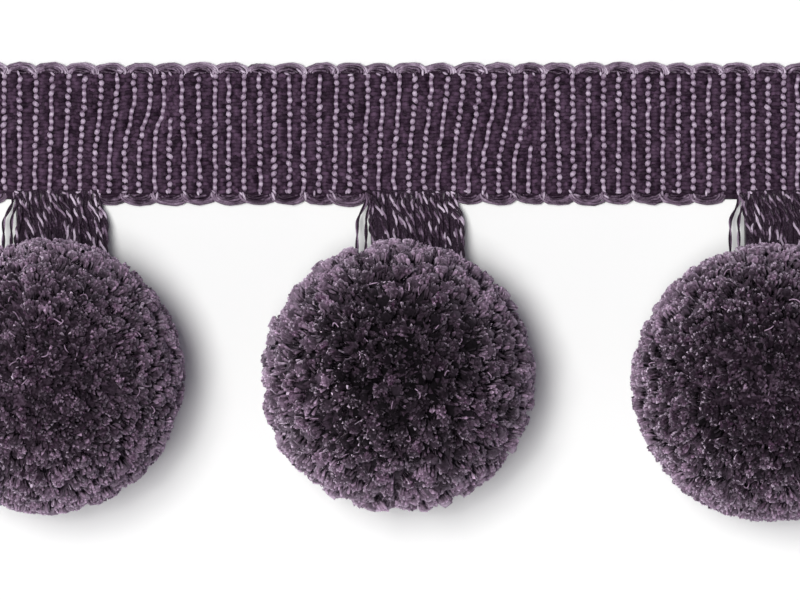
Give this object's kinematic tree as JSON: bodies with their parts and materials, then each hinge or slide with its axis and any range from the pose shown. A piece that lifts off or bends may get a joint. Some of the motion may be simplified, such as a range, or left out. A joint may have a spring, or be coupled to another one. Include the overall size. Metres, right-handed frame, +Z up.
{
  "type": "pompom fringe trim",
  "caption": "Cut length of ribbed braid trim with scalloped edges and cut-yarn balls hanging on short strand necks.",
  "frame": {"origin": "on the surface that the trim lies on, at the middle of its footprint", "axes": "+X along the heading, +Y across it from the balls to the heading's far edge, +Z up out of the trim's face"},
  "size_m": [0.108, 0.0459, 0.0273],
  "materials": {
    "heading_braid": "ribbed woven braid, dark plum ribs with a lustrous lilac-grey thread between each two",
    "neck_strands": "loose glossy plied strands, dark plum",
    "pompom_yarn": "dense cut yarn pile, dark plum with greyed mauve tips"
  },
  "bodies": {
    "root": {"heading": "heading_braid", "neck_1": "neck_strands", "neck_2": "neck_strands", "neck_3": "neck_strands", "pompom_1": "pompom_yarn", "pompom_2": "pompom_yarn", "pompom_3": "pompom_yarn"}
  },
  "joints": []
}
